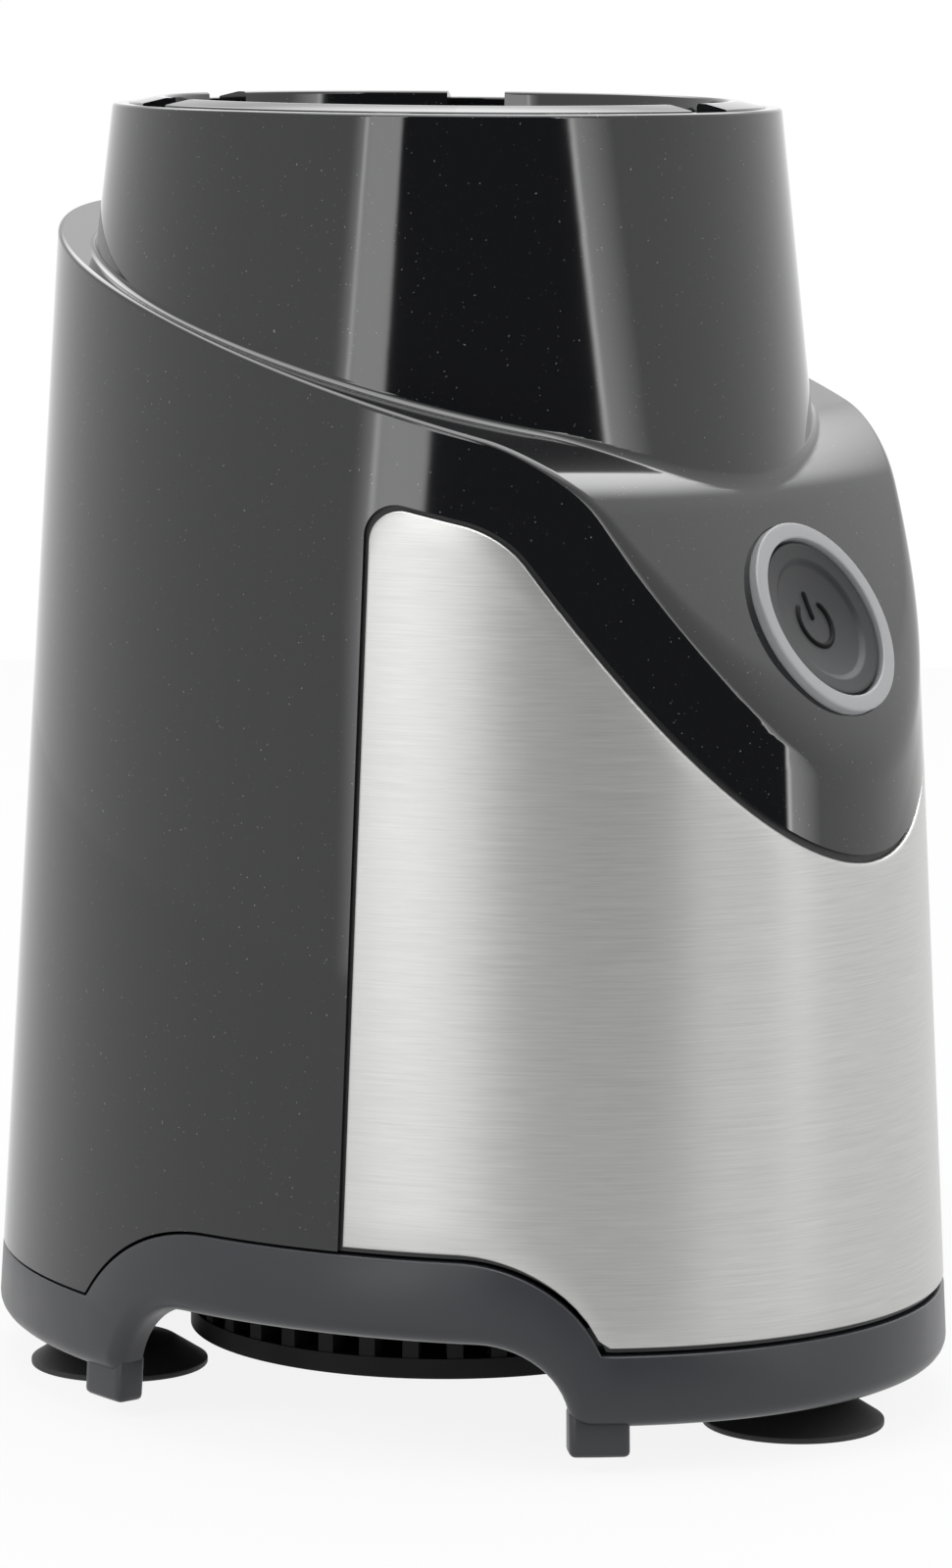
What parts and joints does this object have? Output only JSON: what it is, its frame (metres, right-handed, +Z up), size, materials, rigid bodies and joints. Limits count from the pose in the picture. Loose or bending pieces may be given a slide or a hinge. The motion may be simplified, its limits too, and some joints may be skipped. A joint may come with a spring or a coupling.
{
  "type": "cup blender motor base",
  "caption": "Motor base of a cup blender: tapered oval housing with a steel wrap, round cup collar, sprung power button, toothed drive coupling and suction feet.",
  "frame": {"origin": "on the table under the middle of the body's footprint", "axes": "+Z up, the button side faces -Y"},
  "size_m": [0.126, 0.1532, 0.193],
  "materials": {
    "gloss_black": "gloss",
    "steel_sheet": "brushed",
    "dark_grey": "satin",
    "black_plastic": "matte",
    "light_grey": "satin",
    "charcoal": "matte",
    "rubber": "matte",
    "hard_steel": "satin",
    "aluminium": "satin",
    "laminations": "satin",
    "copper": "satin",
    "carbon": "matte",
    "phenolic": "matte",
    "board_green": "satin",
    "yellow_case": "gloss",
    "signal_red": "satin"
  },
  "bodies": {
    "base": {"main_housing": "gloss_black", "motor_deck": "black_plastic", "steel_panel": "steel_sheet", "base_skirt": "dark_grey", "vent_drum": "black_plastic", "suction_feet": "rubber", "skirt_screws": "hard_steel", "vent_screws": "hard_steel", "cup_well": "black_plastic", "well_screws": "hard_steel", "shaft_seal": "rubber", "upper_bearing": "hard_steel", "lower_bearing": "hard_steel", "upper_bracket": "aluminium", "lower_bracket": "aluminium", "stator_core": "laminations", "field_coils": "copper", "brush_holders": "phenolic", "carbon_brushes": "carbon", "brush_springs": "hard_steel", "air_duct": "dark_grey", "motor_bolts": "hard_steel", "motor_grommets": "rubber", "motor_screws": "hard_steel", "button_ring": "light_grey", "button_spring": "hard_steel", "button_carrier": "dark_grey", "carrier_screws": "hard_steel", "power_switch": "black_plastic", "interlock_spring": "hard_steel", "interlock_switch": "black_plastic", "interlock_screws": "hard_steel", "control_board": "board_green", "filter_capacitor": "yellow_case", "board_screws": "hard_steel", "cord_gland": "rubber"},
    "rotor": {"motor_shaft": "hard_steel", "drive_coupling": "charcoal", "armature_core": "laminations", "armature_winding": "copper", "commutator": "copper", "cooling_fan": "charcoal"},
    "button": {"power_button": "charcoal"},
    "plunger": {"switch_plunger": "light_grey"},
    "pin": {"interlock_pin": "signal_red"},
    "lever": {"interlock_lever": "hard_steel"}
  },
  "joints": [
    {"name": "rotor_spin", "type": "hinge", "parent": "base", "child": "rotor", "pos_m": [0, 0.0055, 0.1], "axis": [0, 0, 1], "continuous": true},
    {"name": "button_press", "type": "slide", "parent": "base", "child": "button", "axis": [0, 0.8746, -0.4848], "range_m": [0, 0.0025], "stiffness_N_per_m": 600, "springref_m": -0.003, "deforming": ["button_spring"]},
    {"name": "plunger_slide", "type": "slide", "parent": "base", "child": "plunger", "axis": [0, 0.8746, -0.4848], "range_m": [0, 0.0025]},
    {"name": "pin_press", "type": "slide", "parent": "base", "child": "pin", "axis": [0, 0, -1], "range_m": [0, 0.003], "stiffness_N_per_m": 400, "springref_m": -0.003, "deforming": ["interlock_spring"]},
    {"name": "lever_turn", "type": "hinge", "parent": "base", "child": "lever", "pos_m": [-0.011, 0.0523, 0.1335], "axis": [0, 1, 0], "range_deg": [0, 16]}
  ],
  "couplings": [
    {"joint": "plunger_slide", "follows": "button_press", "ratio": 1},
    {"joint": "lever_turn", "follows": "pin_press", "rad_per_m": 90.2}
  ]
}
